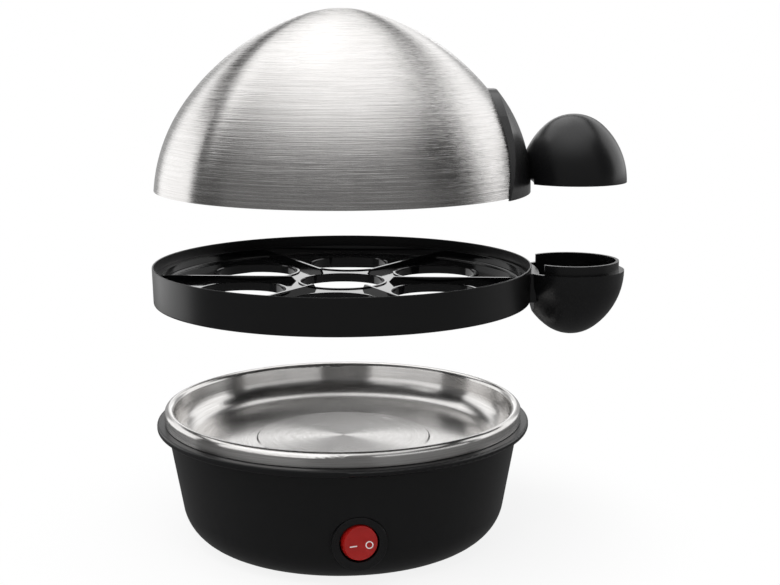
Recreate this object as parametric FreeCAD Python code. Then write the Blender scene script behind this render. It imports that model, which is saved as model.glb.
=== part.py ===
import FreeCAD, Part
import math
import os

# Seven-egg boiler: a base with a steel heating dish, a lift-out egg tray and a steel dome.
# Millimetres, +Z up. The origin is on the dome's axis, at the underside of the feet. The egg
# grips lie towards +X and the rocker switch towards -Y. The tray and the dome are held lifted.

overrun = 2.0                   # how far a cutting tool runs past the face that it opens
seat_gap = 0.3                  # left between the parts that rest on each other once closed

# Base housing
foot_stand = 1.5
base_side_run = 23.0
base_round_radius = 20.5
base_round_start_deg = 64.8
base_inner_start_deg = 55.0
base_wall_slant_deg = 10.0
base_wall_height = 52.5
base_wall = 2.2
base_rim_width = 2.4
base_rim_height = 3.2

# Flange, and the ring that carries the dish
flange_inset = 0.3
flange_under_round = 1.3
flange_edge_height = 1.0
flange_top_round = 0.9
flange_height = 3.3
flange_seat_margin = 0.6
dish_ring_height = 2.7
dish_ring_gap = 0.3

# Heating dish
dish_shelf = 3.6
dish_lip_width = 4.6
dish_lip_skirt = 4.2
dish_sheet = 0.8
dish_depth = 17.0
dish_bowl_radius = 11.0
dish_wall_lean_deg = 8.0
dish_step_radius = 42.0
dish_step_width = 0.8
dish_step_rise = 0.5
gasket_width = 1.6
gasket_height = 3.2

# Heater stack under the dish
spreader_inset = 1.4
spreader_thickness = 2.5
element_ring_radius = 31.0
element_tube_radius = 3.2
element_gap_deg = 34.0
element_middle_deg = 90.0
element_seat = 0.1
element_sleeve_radius = 3.6
element_pin_radius = 1.2
element_pin_length = 8.0
clamp_lap = 0.4
clamp_hole_radius = 14.0
clamp_thickness = 1.2
clamp_notch_gap = 0.5
clamp_stud_count = 3
clamp_stud_radius = 1.9
clamp_stud_inset = 9.0
clamp_stud_tail = 1.5
clamp_stud_turn_deg = 30.0
nut_flat_radius = 3.6
nut_height = 2.6
shield_post_gap = 1.4
shield_thickness = 0.8
shield_rim_height = 3.0
shield_centre_hole_radius = 12.0
shield_wire_hole_radius = 5.0

# Posts in the housing that the dish is pulled down on
post_count = 3
post_inset = 2.0
post_turn_deg = 60.0
post_radius = 4.6
post_web = 2.6
post_height = 8.0
post_drop = 9.0
dish_stud_radius = 1.9
dish_stud_tail = 1.5

# Thermostat and thermal fuse
thermostat_radius = 8.0
thermostat_height = 6.0
thermostat_flange_radius = 10.0
thermostat_flange_thickness = 1.2
thermostat_blade_length = 5.0
thermostat_blade_width = 4.8
thermostat_blade_thickness = 0.8
thermostat_blade_spread = 4.5
fuse_radius = 2.6
fuse_length = 12.0
fuse_ring = 18.0
fuse_turn_deg = 210.0

# Bottom cover, its screws and the feet
cover_thickness = 2.0
cover_recess = 0.6
cover_gap = 0.3
boss_count = 4
boss_turn_deg = 45.0
boss_inset = 11.0
boss_radius = 4.2
boss_height = 15.0
boss_web = 2.5
screw_shank_radius = 1.6
screw_length = 10.0
screw_head_radius = 3.2
screw_head_height = 1.4
foot_count = 4
foot_inset = 15.0
foot_radius = 6.5
foot_round = 0.8
foot_stem_radius = 1.8
foot_stem_head_radius = 2.6
foot_stem_head_height = 1.2

# Terminal block on the bottom cover
block_length = 27.0
block_width = 13.0
block_height = 11.0
block_reach = 9.0
block_pole_count = 3
block_pole_pitch = 9.0
block_pole_rise = 5.0
block_bore_radius = 2.2
block_screw_radius = 1.9
block_screw_height = 4.0

# Cord inlet at the back
inlet_rise = 17.0
inlet_pad_radius = 10.0
inlet_setback = 10.6
inlet_pad_depth = 5.8
grommet_neck_radius = 5.4
grommet_flange_radius = 8.0
grommet_flange_thickness = 1.8
grommet_bore_radius = 3.3

# Round rocker switch at the front
switch_turn_deg = 5.0
switch_rise = 20.0
switch_setback = 10.4
switch_pad_radius = 12.9
switch_pad_wall = 1.8
switch_pad_depth = 5.6
switch_pocket_gap = 0.3
switch_hole_gap = 0.15
bezel_radius = 12.2
bezel_thickness = 1.8
bezel_slope = 1.1
bezel_round = 0.5
switch_barrel_radius = 10.6
switch_barrel_length = 16.0
switch_cavity_radius = 8.8
switch_floor = 1.6
blade_width = 4.8
blade_thickness = 0.8
blade_length = 8.0
blade_spread = 5.0
blade_inner_length = 0.5

# Rocker, its lamp and plunger, and the contact lever that it tips
rocker_ball_radius = 8.5
rocker_front = 4.2
rocker_back = 2.6
rocker_wall = 1.2
rocker_face_depth = 0.8
rocker_throw_deg = 18.0
rocker_pivot_depth = 3.0
rocker_pin_radius = 1.0
rocker_pin_gap = 0.05
rocker_pin_reach = 9.4
rocker_pin_end_gap = 0.25
lamp_radius = 1.6
lamp_length = 6.5
lamp_side = 4.2
lamp_gap = 0.2
plunger_radius = 1.3
lever_depth = 9.6
lever_thickness = 0.6
lever_half_length = 6.0
lever_width = 5.0
lever_tilt_deg = 7.0
lever_roll_radius = 0.7
lever_foot_gap = 0.3

# Wiring
lead_radius = 1.2
lead_bend_radius = 4.0
lead_drop = 8.0
lead_turn_y = 22.0
lead_block_grip = 3.0
lead_switch_run = 14.0
lead_earth_side = 22.0
lead_earth_drop = 9.0

# Egg tray
tray_raise = 56.9
tray_ledge_width = 4.1
tray_draft = 0.4
tray_height = 17.0
tray_lip_wall = 0.75
tray_ledge_depth = 5.0
tray_floor_depth = 9.1
tray_floor = 1.8
tray_skirt_wall = 2.1
tray_corner_round = 0.7
tray_hollow_round = 1.2
egg_hole_count = 6
egg_hole_radius = 19.7
egg_hole_gap = 11.6
egg_hole_margin = 14.5
egg_hole_turn_deg = 26.0
collar_width = 1.4
collar_height = 0.5
collar_chamfer = 0.35
collar_skirt = 1.8
rib_count = 6
rib_height = 2.5
rib_thickness = 1.2
rib_hole_gap = 2.4
rib_end_slope = 2.4

# Egg-shaped grip: the lower half on the tray, the upper half on the dome
egg_reach = 19.5
egg_radius = 25.2
egg_wall = 2.0
cup_depth = 31.2
cup_cap_radius = 19.0
egg_top_height = 31.6
egg_top_cap_radius = 20.0
cup_shoulder_depth = 3.4
cup_cut_gap = 1.3
cup_cut_wall = 2.2
cup_collar_height = 4.4
cup_collar_gap = 0.55
cup_collar_wall = 1.5
cup_collar_root = 6.0
cup_collar_end = 14.8
web_half_width = 15.0

# Steel dome
dome_raise = 40.5
dome_inset = 1.9
dome_lean_deg = 5.0
dome_side_setback = 7.6
dome_side_deg = 31.6
dome_shoulder_extra = 24.5
dome_shoulder_deg = 33.4
dome_sheet = 0.8
hem_width = 1.8
hem_height = 1.1

# Bracket that joins the upper egg half to the dome
bracket_height = 45.8
bracket_drop = 1.0
bracket_half_width = 48.1
bracket_bottom_proud = 0.8
bracket_middle_proud = 2.7
bracket_top_proud = 4.0
bracket_side_middle_shares = (0.81, 0.38)
bracket_side_end_shares = (0.58, 0.76)
bracket_corner_middle_shares = (0.41, 0.90)
bracket_top_end_share = 0.14
bracket_pocket_gap = 0.3
egg_edge_rise = 2.6
egg_notch_gap = 0.4
handle_screw_rise = 10.5
handle_screw_spread = 7.0
handle_screw_radius = 1.8
handle_screw_length = 11.0
handle_head_radius = 3.5
handle_head_height = 2.0
handle_boss_radius = 3.2
handle_boss_length = 5.0
backplate_thickness = 1.2
backplate_half_width = 14.0
backplate_half_height = 6.0

# Radii that follow the egg holes: the tray goes round them, and the base and the dome go with the tray
egg_hole_ring = 2 * egg_hole_radius + egg_hole_gap
rib_inner_radius = egg_hole_radius + rib_hole_gap
tray_inner_radius = egg_hole_ring + egg_hole_radius + egg_hole_margin
tray_radius = tray_inner_radius + tray_ledge_width
tray_foot_radius = tray_radius - tray_draft
egg_axis = tray_radius + egg_reach
dome_radius = tray_radius - dome_inset
dome_side_radius = dome_radius - dome_side_setback
dome_shoulder_radius = dome_radius + dome_shoulder_extra
flange_radius = tray_radius - flange_inset
dish_lip_radius = flange_radius - dish_shelf
inlet_face = flange_radius - inlet_setback
switch_face = flange_radius - switch_setback
base_edge_radius = flange_radius - base_side_run
post_ring = base_edge_radius - post_inset
boss_ring = base_edge_radius - boss_inset
foot_ring = base_edge_radius - foot_inset
block_y = element_ring_radius + block_reach
shield_radius = post_ring - post_radius - shield_post_gap
spreader_radius = dish_step_radius - spreader_inset
clamp_radius = element_ring_radius + clamp_lap
clamp_stud_ring = element_ring_radius - clamp_stud_inset

# Places worked out from the sizes above
wall_top = foot_stand + base_wall_height
flange_top = wall_top + flange_height
lip_half_width = dish_lip_width / 2
lip_centre_radius = dish_lip_radius - lip_half_width
lip_bottom = flange_top + seat_gap
lip_middle = lip_bottom + dish_lip_skirt
lip_top = lip_middle + lip_half_width
dish_floor_top = lip_top - dish_depth
dish_floor_under = dish_floor_top - dish_sheet
dish_centre_under = dish_floor_under + dish_step_rise
spreader_bottom = dish_centre_under - spreader_thickness
element_middle = spreader_bottom - element_seat - element_tube_radius
clamp_top = element_middle - element_tube_radius - element_seat
clamp_bottom = clamp_top - clamp_thickness
shield_top = clamp_bottom - nut_height
shield_bottom = shield_top - shield_thickness
post_top = dish_floor_under - post_drop
post_bottom = post_top - post_height
cover_bottom = foot_stand + cover_recess
cover_top = cover_bottom + cover_thickness
cover_radius = base_edge_radius - base_rim_width - cover_gap
block_pole_z = cover_top + block_pole_rise
inlet_z = foot_stand + inlet_rise
inlet_inner_face = inlet_face - inlet_pad_depth
switch_z = foot_stand + switch_rise
switch_pad_inner = switch_face - switch_pad_depth
switch_pivot = switch_face - rocker_pivot_depth
switch_back = switch_face - switch_barrel_length
lever_place = switch_pivot - lever_depth
tray_rim = lip_top + seat_gap + tray_floor + tray_floor_depth + tray_raise
tray_floor_top = tray_rim - tray_floor_depth
tray_floor_under = tray_floor_top - tray_floor
tray_ledge = tray_rim - tray_ledge_depth
tray_bottom = tray_rim - tray_height
tray_lip_inner = tray_radius - tray_lip_wall
cup_shoulder = tray_rim - cup_shoulder_depth
cup_cut_radius = tray_radius + cup_cut_gap
dome_edge = tray_ledge + seat_gap + dome_raise
egg_edge = dome_edge + egg_edge_rise
bracket_bottom = dome_edge - bracket_drop
grip_wall_end = dome_radius + bracket_bottom_proud + cup_cut_wall

full_turn = 360.0
up = FreeCAD.Vector(0, 0, 1)


def point(x, y, z):
    return FreeCAD.Vector(x, y, z)


def on_circle(radius, degrees):
    angle = math.radians(degrees)
    return radius * math.cos(angle), radius * math.sin(angle)


def outline_face(start, steps):
    """A face in the XZ plane: a step is (r, z) for a line, or (r, z, r, z) for an arc."""
    edges = []
    here = point(start[0], 0, start[1])
    for step in steps:
        there = point(step[-2], 0, step[-1])
        if len(step) == 2:
            edges.append(Part.makeLine(here, there))
        else:
            edges.append(Part.Arc(here, point(step[0], 0, step[1]), there).toShape())
        here = there
    edges.append(Part.makeLine(here, point(start[0], 0, start[1])))
    return Part.Face(Part.Wire(edges))


def turned(start, steps, axis_x=0.0):
    return outline_face(start, steps).revolve(point(axis_x, 0, 0), up, full_turn)


def cylinder(radius, low, high, x=0.0, y=0.0):
    return Part.makeCylinder(radius, high - low, point(x, y, low), up)


def ring(inner, outer, low, high, x=0.0, y=0.0):
    return cylinder(outer, low, high, x, y).cut(cylinder(inner, low, high, x, y))


def rod(start, end, radius):
    return Part.makeCylinder(radius, start.distanceToPoint(end), start, end - start)


def rod_along_y(radius, x, z, y_from, y_to):
    return rod(point(x, y_from, z), point(x, y_to, z), radius)


def block(x_low, x_high, y_low, y_high, z_low, z_high):
    size = (x_high - x_low, y_high - y_low, z_high - z_low)
    return Part.makeBox(*size, point(x_low, y_low, z_low))


def turned_by(shape, degrees):
    copy = shape.copy()
    copy.rotate(point(0, 0, 0), up, degrees)
    return copy


def around(shape, count, first_deg=0.0):
    return [turned_by(shape, first_deg + full_turn * i / count) for i in range(count)]


def group(shapes):
    return Part.makeCompound(shapes)


def hex_nut(x, y, low, bore):
    corner = nut_flat_radius / math.cos(math.pi / 6)
    corners = [point(x, y, low) + point(*on_circle(corner, full_turn * i / 6), 0) for i in range(7)]
    prism = Part.Face(Part.makePolygon(corners)).extrude(up * nut_height)
    return prism.cut(cylinder(bore, low, low + nut_height, x, y))


def tube_along(points, radius, bend):
    """A round tube along straight runs joined by tangent arcs."""
    edges = []
    here = points[0]
    for before, corner, after in zip(points, points[1:], points[2:]):
        inward = (corner - before).normalize()
        outward = (after - corner).normalize()
        turn = inward.getAngle(outward)
        reach = bend * math.tan(turn / 2)
        first = corner - inward * reach
        last = corner + outward * reach
        bisector = (outward - inward).normalize()
        middle = corner + bisector * (bend / math.cos(turn / 2) - bend)
        edges.append(Part.makeLine(here, first))
        edges.append(Part.Arc(first, middle, last).toShape())
        here = last
    edges.append(Part.makeLine(here, points[-1]))
    section = Part.Wire([Part.Circle(points[0], points[1] - points[0], radius).toShape()])
    return Part.Wire(edges).makePipeShell([section], True, False)


# Base housing and its fittings

def base_round_point(inset, degrees):
    centre_r = base_edge_radius - on_circle(base_round_radius, base_round_start_deg)[0]
    centre_z = foot_stand + on_circle(base_round_radius, base_round_start_deg)[1]
    along, down = on_circle(base_round_radius - inset, degrees)
    return centre_r + along, centre_z - down


def base_wall_top_radius(inset):
    r, z = base_round_point(inset, base_wall_slant_deg)
    return r + (wall_top - z) * math.tan(math.radians(base_wall_slant_deg))


def base_round_steps(inset, start_deg, end_deg):
    middle = base_round_point(inset, (start_deg + end_deg) / 2)
    return (*middle, *base_round_point(inset, end_deg))


def housing_outer_steps():
    edge_bottom = wall_top + flange_under_round
    edge_top = edge_bottom + flange_edge_height
    under_inset = flange_under_round * (1 - math.sqrt(0.5))
    top_inset = flange_top_round * (1 - math.sqrt(0.5))
    return [
        base_round_steps(0, base_round_start_deg, base_wall_slant_deg),
        (base_wall_top_radius(0), wall_top),
        (flange_radius - flange_under_round, wall_top),
        (flange_radius - under_inset, wall_top + under_inset, flange_radius, edge_bottom),
        (flange_radius, edge_top),
        (flange_radius - top_inset, edge_top + flange_top_round - top_inset,
         flange_radius - flange_top_round, edge_top + flange_top_round),
        (dish_lip_radius + flange_seat_margin, flange_top),
    ]


def housing_block():
    """The housing's outer shape as one full body, for trimming what stands on its wall."""
    steps = [(base_edge_radius, foot_stand)] + housing_outer_steps() + [(0, flange_top)]
    return turned((0, foot_stand), steps)


def housing_shell():
    ring_outer = dish_lip_radius - dish_sheet - dish_ring_gap
    ring_inner = dish_lip_radius - dish_lip_width + dish_sheet + dish_ring_gap
    ring_top = flange_top + dish_ring_height
    rim_inner = base_edge_radius - base_rim_width
    inside = [
        (ring_outer, flange_top),
        (ring_outer, ring_top),
        (ring_inner, ring_top),
        (base_wall_top_radius(base_wall), wall_top),
        base_round_point(base_wall, base_wall_slant_deg),
        base_round_steps(base_wall, base_wall_slant_deg, base_inner_start_deg),
        (rim_inner, foot_stand + base_rim_height),
        (rim_inner, foot_stand),
    ]
    return turned((base_edge_radius, foot_stand), housing_outer_steps() + inside)


def wall_column(radius, ring_radius, low, high, web):
    """A column with a web that runs out into the wall."""
    column = cylinder(radius, low, high, ring_radius, 0)
    return column.fuse(block(ring_radius, flange_radius, -web / 2, web / 2, low, high))


def base_housing():
    outer = housing_block()
    housing = housing_shell()
    screw_column = wall_column(boss_radius, boss_ring, cover_top, cover_top + boss_height, boss_web)
    dish_column = wall_column(post_radius, post_ring, post_bottom, post_top, post_web)
    columns = around(screw_column, boss_count, boss_turn_deg) + around(dish_column, post_count, post_turn_deg)
    collar_radius = switch_pad_radius + switch_pad_wall
    switch_collar = rod_along_y(collar_radius, 0, switch_z, -switch_pad_inner, -flange_radius)
    inlet_collar = rod_along_y(inlet_pad_radius, 0, inlet_z, inlet_inner_face, flange_radius)
    for piece in columns + [turned_by(switch_collar, switch_turn_deg), inlet_collar]:
        housing = housing.fuse(piece.common(outer))
    switch_pad = rod_along_y(switch_pad_radius, 0, switch_z, -switch_pad_inner, -switch_face)
    inlet_pad = rod_along_y(inlet_pad_radius, 0, inlet_z, inlet_inner_face, inlet_face)
    housing = housing.fuse(turned_by(switch_pad, switch_turn_deg)).fuse(inlet_pad)
    pocket_radius = bezel_radius + switch_pocket_gap
    switch_pocket = rod_along_y(pocket_radius, 0, switch_z, -switch_face, -flange_radius - overrun)
    switch_hole = rod_along_y(switch_barrel_radius + switch_hole_gap, 0, switch_z,
                              -switch_pad_inner + overrun, -switch_face - overrun)
    inlet_pocket = rod_along_y(inlet_pad_radius, 0, inlet_z, inlet_face, flange_radius + overrun)
    inlet_hole = rod_along_y(grommet_neck_radius, 0, inlet_z, inlet_inner_face - overrun,
                             inlet_face + overrun)
    screw_hole = cylinder(screw_shank_radius, cover_top - overrun, cover_bottom + screw_length, boss_ring, 0)
    stud_hole = cylinder(dish_stud_radius, post_bottom - overrun, post_top + overrun, post_ring, 0)
    holes = [turned_by(switch_pocket, switch_turn_deg), turned_by(switch_hole, switch_turn_deg), inlet_pocket,
             inlet_hole]
    holes += around(screw_hole, boss_count, boss_turn_deg) + around(stud_hole, post_count, post_turn_deg)
    for hole in holes:
        housing = housing.cut(hole)
    return housing.removeSplitter()


def cover_screw():
    head_bottom = cover_bottom
    head = cylinder(screw_head_radius, head_bottom, head_bottom + screw_head_height, boss_ring, 0)
    return head.fuse(cylinder(screw_shank_radius, head_bottom, cover_bottom + screw_length, boss_ring, 0))


def rubber_foot():
    inset = foot_round * (1 - math.sqrt(0.5))
    centre = foot_ring
    head_top = cover_top + foot_stem_head_height
    steps = [
        (centre + foot_radius - foot_round, 0),
        (centre + foot_radius - inset, inset, centre + foot_radius, foot_round),
        (centre + foot_radius, cover_bottom),
        (centre + foot_stem_radius, cover_bottom),
        (centre + foot_stem_radius, cover_top),
        (centre + foot_stem_head_radius, cover_top),
        (centre + foot_stem_radius, head_top),
        (centre, head_top),
    ]
    return turned((centre, 0), steps, centre)


def bottom_cover(screws, feet):
    cover = cylinder(cover_radius, cover_bottom, cover_top)
    for piece in screws + feet:
        cover = cover.cut(piece)
    return cover


def cord_grommet():
    outer_end = inlet_face + grommet_flange_thickness
    inner_end = inlet_inner_face - grommet_flange_thickness
    grommet = rod_along_y(grommet_neck_radius, 0, inlet_z, inner_end, outer_end)
    grommet = grommet.fuse(rod_along_y(grommet_flange_radius, 0, inlet_z, inlet_face, outer_end))
    grommet = grommet.fuse(rod_along_y(grommet_flange_radius, 0, inlet_z, inner_end, inlet_inner_face))
    return grommet.cut(rod_along_y(grommet_bore_radius, 0, inlet_z, inner_end - overrun, outer_end + overrun))


def terminal_poles():
    first = -block_pole_pitch * (block_pole_count - 1) / 2
    return [first + block_pole_pitch * i for i in range(block_pole_count)]


def terminal_block():
    half = block_width / 2
    top = cover_top + block_height
    body = block(-block_length / 2, block_length / 2, block_y - half, block_y + half, cover_top, top)
    for x in terminal_poles():
        body = body.cut(rod_along_y(block_bore_radius, x, block_pole_z, block_y - half - overrun,
                                    block_y + half + overrun))
        body = body.cut(cylinder(block_screw_radius, block_pole_z, top + overrun, x, block_y))
    return body


def terminal_screws():
    low = block_pole_z + lead_radius
    high = low + block_screw_height
    return group([cylinder(block_screw_radius, low, high, x, block_y) for x in terminal_poles()])


# Dish and heater

def dish_surface_steps(inset):
    """The bowl's face from its centre to the top of the outer skirt; inset 0 is the upper face."""
    lean = math.radians(dish_wall_lean_deg)
    sweep = math.pi / 2 - lean
    floor_z = dish_floor_top - inset
    bowl = dish_bowl_radius + inset
    bowl_z = dish_floor_top + dish_bowl_radius
    lip_inner = dish_lip_radius - dish_lip_width
    wall_foot_z = bowl_z - dish_bowl_radius * math.cos(sweep)
    bowl_r = lip_inner - (lip_middle - wall_foot_z) * math.tan(lean) - dish_bowl_radius * math.sin(sweep)
    step_r = dish_step_radius - inset / 2
    lip = lip_half_width - inset
    return [
        (step_r - dish_step_width, floor_z + dish_step_rise),
        (step_r, floor_z),
        (bowl_r, floor_z),
        (bowl_r + bowl * math.sin(sweep / 2), bowl_z - bowl * math.cos(sweep / 2),
         bowl_r + bowl * math.sin(sweep), bowl_z - bowl * math.cos(sweep)),
        (lip_inner + inset, lip_middle),
        (lip_centre_radius, lip_middle + lip, dish_lip_radius - inset, lip_middle),
        (dish_lip_radius - inset, lip_bottom),
    ]


def reversed_steps(start, steps):
    """The same outline walked back from its end to its start."""
    starts = [start] + [step[-2:] for step in steps[:-1]]
    return [(*step[:-2], *before) for step, before in zip(reversed(steps), reversed(starts))]


def heating_dish():
    top = dish_floor_top + dish_step_rise
    upper = dish_surface_steps(0)
    lower = dish_surface_steps(dish_sheet)
    return turned((0, top), upper + [lower[-1][-2:]] + reversed_steps((0, top - dish_sheet), lower))


def dish_gasket():
    half = gasket_width / 2
    low = flange_top + dish_ring_height
    shoulder = low + gasket_height - half
    inner = lip_centre_radius - half
    outer = lip_centre_radius + half
    steps = [(inner, shoulder), (lip_centre_radius, shoulder + half, outer, shoulder), (outer, low)]
    return turned((inner, low), steps)


def dish_studs():
    low = post_bottom - nut_height - dish_stud_tail
    stud = cylinder(dish_stud_radius, low, dish_floor_under, post_ring, 0)
    return group(around(stud, post_count, post_turn_deg))


def dish_stud_nuts():
    nut = hex_nut(post_ring, 0, post_bottom - nut_height, dish_stud_radius)
    return group(around(nut, post_count, post_turn_deg))


def element_ends():
    turns = (element_middle_deg - element_gap_deg / 2, element_middle_deg + element_gap_deg / 2)
    return [on_circle(element_ring_radius, turn) for turn in turns]


def heater_element():
    """An open ring of sheathed tube; both ends turn down to a terminal pin."""
    section = Part.Face(Part.Wire(Part.Circle(point(element_ring_radius, 0, element_middle), point(0, 1, 0),
                                              element_tube_radius).toShape()))
    element = section.revolve(point(0, 0, 0), up, full_turn - element_gap_deg)
    element = turned_by(element, element_middle_deg + element_gap_deg / 2)
    for x, y in element_ends():
        sleeve = cylinder(element_sleeve_radius, clamp_bottom, spreader_bottom - element_seat, x, y)
        pin = cylinder(element_pin_radius, clamp_bottom - element_pin_length, clamp_bottom, x, y)
        element = element.fuse(sleeve).fuse(pin)
    return element.removeSplitter()


def clamp_stud():
    low = shield_bottom - nut_height - clamp_stud_tail
    return cylinder(clamp_stud_radius, low, spreader_bottom, clamp_stud_ring, 0)


def clamp_studs():
    return group(around(clamp_stud(), clamp_stud_count, clamp_stud_turn_deg))


def clamp_nuts():
    nuts = []
    for top in (clamp_bottom, shield_bottom):
        nut = hex_nut(clamp_stud_ring, 0, top - nut_height, clamp_stud_radius)
        nuts += around(nut, clamp_stud_count, clamp_stud_turn_deg)
    return group(nuts)


def element_clamp():
    clamp = ring(clamp_hole_radius, clamp_radius, clamp_bottom, clamp_top)
    for x, y in element_ends():
        clamp = clamp.cut(cylinder(element_sleeve_radius + clamp_notch_gap, clamp_bottom - overrun,
                                   clamp_top + overrun, x, y))
    for stud in around(clamp_stud(), clamp_stud_count, clamp_stud_turn_deg):
        clamp = clamp.cut(stud)
    return clamp


def heat_shield():
    shield = ring(shield_centre_hole_radius, shield_radius, shield_bottom, shield_top)
    rim_low = shield_top - shield_rim_height
    shield = shield.fuse(ring(shield_radius - shield_thickness, shield_radius, rim_low, shield_top))
    for x, y in element_ends():
        shield = shield.cut(cylinder(shield_wire_hole_radius, shield_bottom - overrun,
                                     shield_top + overrun, x, y))
    for stud in around(clamp_stud(), clamp_stud_count, clamp_stud_turn_deg):
        shield = shield.cut(stud)
    return shield


def thermostat():
    flange_bottom = spreader_bottom - thermostat_flange_thickness
    body_bottom = flange_bottom - thermostat_height
    body = cylinder(thermostat_flange_radius, flange_bottom, spreader_bottom)
    body = body.fuse(cylinder(thermostat_radius, body_bottom, flange_bottom))
    half_width = thermostat_blade_width / 2
    half_thickness = thermostat_blade_thickness / 2
    for x in (-thermostat_blade_spread, thermostat_blade_spread):
        body = body.fuse(block(x - half_thickness, x + half_thickness, -half_width, half_width,
                               body_bottom - thermostat_blade_length, body_bottom))
    return body


def thermal_fuse():
    z = spreader_bottom - element_seat - fuse_radius
    fuse = rod_along_y(fuse_radius, fuse_ring, z, -fuse_length / 2, fuse_length / 2)
    return turned_by(fuse, fuse_turn_deg)


# Wiring

def blade_places():
    return (-blade_spread, 0, blade_spread)


def switch_blade_end(x):
    """Where a lead meets the switch's blade, and the way that the blade points."""
    turn = math.radians(switch_turn_deg)
    reach = switch_back - blade_length
    along = point(math.sin(turn), -math.cos(turn), 0)
    across = point(math.cos(turn), math.sin(turn), 0)
    return along * reach + across * x + up * switch_z, along


def lead_feed():
    end, along = switch_blade_end(-blade_spread)
    pole = terminal_poles()[0]
    start_y = block_y - block_width / 2 + lead_block_grip
    route = [point(pole, start_y, block_pole_z), point(pole, -lead_turn_y, block_pole_z),
             end - along * lead_switch_run, end]
    return tube_along(route, lead_radius, lead_bend_radius)


def thermostat_blade_end(side):
    low = spreader_bottom - thermostat_flange_thickness - thermostat_height - thermostat_blade_length
    return point(side * thermostat_blade_spread, 0, low)


def lead_switched():
    start, along = switch_blade_end(blade_spread)
    end = thermostat_blade_end(1)
    route = [start, start - along * lead_switch_run, point(end.x, end.y, switch_z), end]
    return tube_along(route, lead_radius, lead_bend_radius)


def element_pin_end(side):
    x, y = element_ends()[side]
    return point(x, y, clamp_bottom - element_pin_length)


def lead_element():
    start = thermostat_blade_end(-1)
    end = element_pin_end(1)
    route = [start, start - up * lead_drop, point(end.x, end.y, start.z - lead_drop), end]
    return tube_along(route, lead_radius, lead_bend_radius)


def lead_neutral():
    start = element_pin_end(0)
    end = point(terminal_poles()[-1], block_y - block_width / 2 + lead_block_grip, block_pole_z)
    return tube_along([start, point(end.x, start.y, end.z), end], lead_radius, lead_bend_radius)


def lead_earth():
    start_y = block_y - block_width / 2 + lead_block_grip
    end = point(*on_circle(post_ring, post_turn_deg), post_bottom - nut_height - dish_stud_tail)
    turn_z = end.z - lead_earth_drop
    route = [point(0, start_y, block_pole_z), point(0, lead_turn_y, block_pole_z),
             point(lead_earth_side, lead_turn_y, turn_z), point(end.x, end.y, turn_z), end]
    return tube_along(route, lead_radius, lead_bend_radius)


# Rocker switch, built with its axis along Z: z is then the distance out from the base's axis

def on_front(shape):
    copy = shape.copy()
    copy.rotate(point(0, 0, 0), point(1, 0, 0), full_turn / 4)
    copy.translate(up * switch_z)
    return turned_by(copy, switch_turn_deg)


def tilted(shape, height, degrees):
    copy = shape.copy()
    copy.rotate(point(0, 0, height), point(0, 1, 0), degrees)
    return copy


def rocker_pins(radius, reach):
    return rod(point(0, -reach, switch_pivot), point(0, reach, switch_pivot), radius)


def blade(x, low, high):
    half = blade_thickness / 2
    return block(x - half, x + half, -blade_width / 2, blade_width / 2, low, high)


def switch_blades():
    outer_top = switch_back + switch_floor + blade_inner_length
    middle_top = lever_place - lever_roll_radius - lever_foot_gap
    tops = (outer_top, middle_top, outer_top)
    return [blade(x, switch_back - blade_length, top) for x, top in zip(blade_places(), tops)]


def switch_body():
    bezel_top = switch_face + bezel_thickness
    inset = bezel_round * (1 - math.sqrt(0.5))
    steps = [
        (switch_barrel_radius, switch_back),
        (switch_barrel_radius, switch_face),
        (bezel_radius, switch_face),
        (bezel_radius, bezel_top - bezel_round),
        (bezel_radius - inset, bezel_top - inset, bezel_radius - bezel_round, bezel_top),
        (switch_cavity_radius, bezel_top - bezel_slope),
        (switch_cavity_radius, switch_back + switch_floor),
        (0, switch_back + switch_floor),
    ]
    body = turned((0, switch_back), steps)
    body = body.cut(rocker_pins(rocker_pin_radius + rocker_pin_gap, rocker_pin_reach + rocker_pin_end_gap))
    for piece in switch_blades():
        body = body.cut(piece)
    return on_front(body)


def rocker_rest(shape):
    return on_front(tilted(shape, switch_pivot, rocker_throw_deg / 2))


def rocker_button():
    """A cap cut from a ball, open behind, with a hollowed face and two pins."""
    back = switch_pivot - rocker_back
    front = switch_pivot + rocker_front
    centre = point(0, 0, switch_pivot)
    reach = rocker_ball_radius + overrun
    button = Part.makeSphere(rocker_ball_radius, centre).common(cylinder(reach, back, front))
    hollow = Part.makeSphere(rocker_ball_radius - rocker_wall, centre)
    hollow = hollow.common(cylinder(reach, back - overrun, front - rocker_wall - rocker_face_depth))
    button = button.fuse(rocker_pins(rocker_pin_radius, rocker_pin_reach)).cut(hollow)
    rim = math.sqrt(rocker_ball_radius ** 2 - rocker_front ** 2)
    face_radius = (rim ** 2 + rocker_face_depth ** 2) / (2 * rocker_face_depth)
    face_centre = front - rocker_face_depth + face_radius
    face = rod(point(0, -reach, face_centre), point(0, reach, face_centre), face_radius)
    return rocker_rest(button.cut(face))


def rocker_plunger():
    tip = lever_place + lever_roll_radius + lever_foot_gap + plunger_radius
    top = switch_pivot + rocker_front - rocker_wall - rocker_face_depth
    plunger = cylinder(plunger_radius, tip, top).fuse(Part.makeSphere(plunger_radius, point(0, 0, tip)))
    return rocker_rest(plunger)


def indicator_lamp():
    place = point(lamp_side, 0, switch_pivot + rocker_front - rocker_wall - rocker_face_depth - lamp_gap)
    lamp = cylinder(lamp_radius, place.z - lamp_length + lamp_radius, place.z, place.x, place.y)
    lamp = lamp.fuse(Part.makeSphere(lamp_radius, place - up * (lamp_length - lamp_radius)))
    return rocker_rest(lamp)


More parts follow.
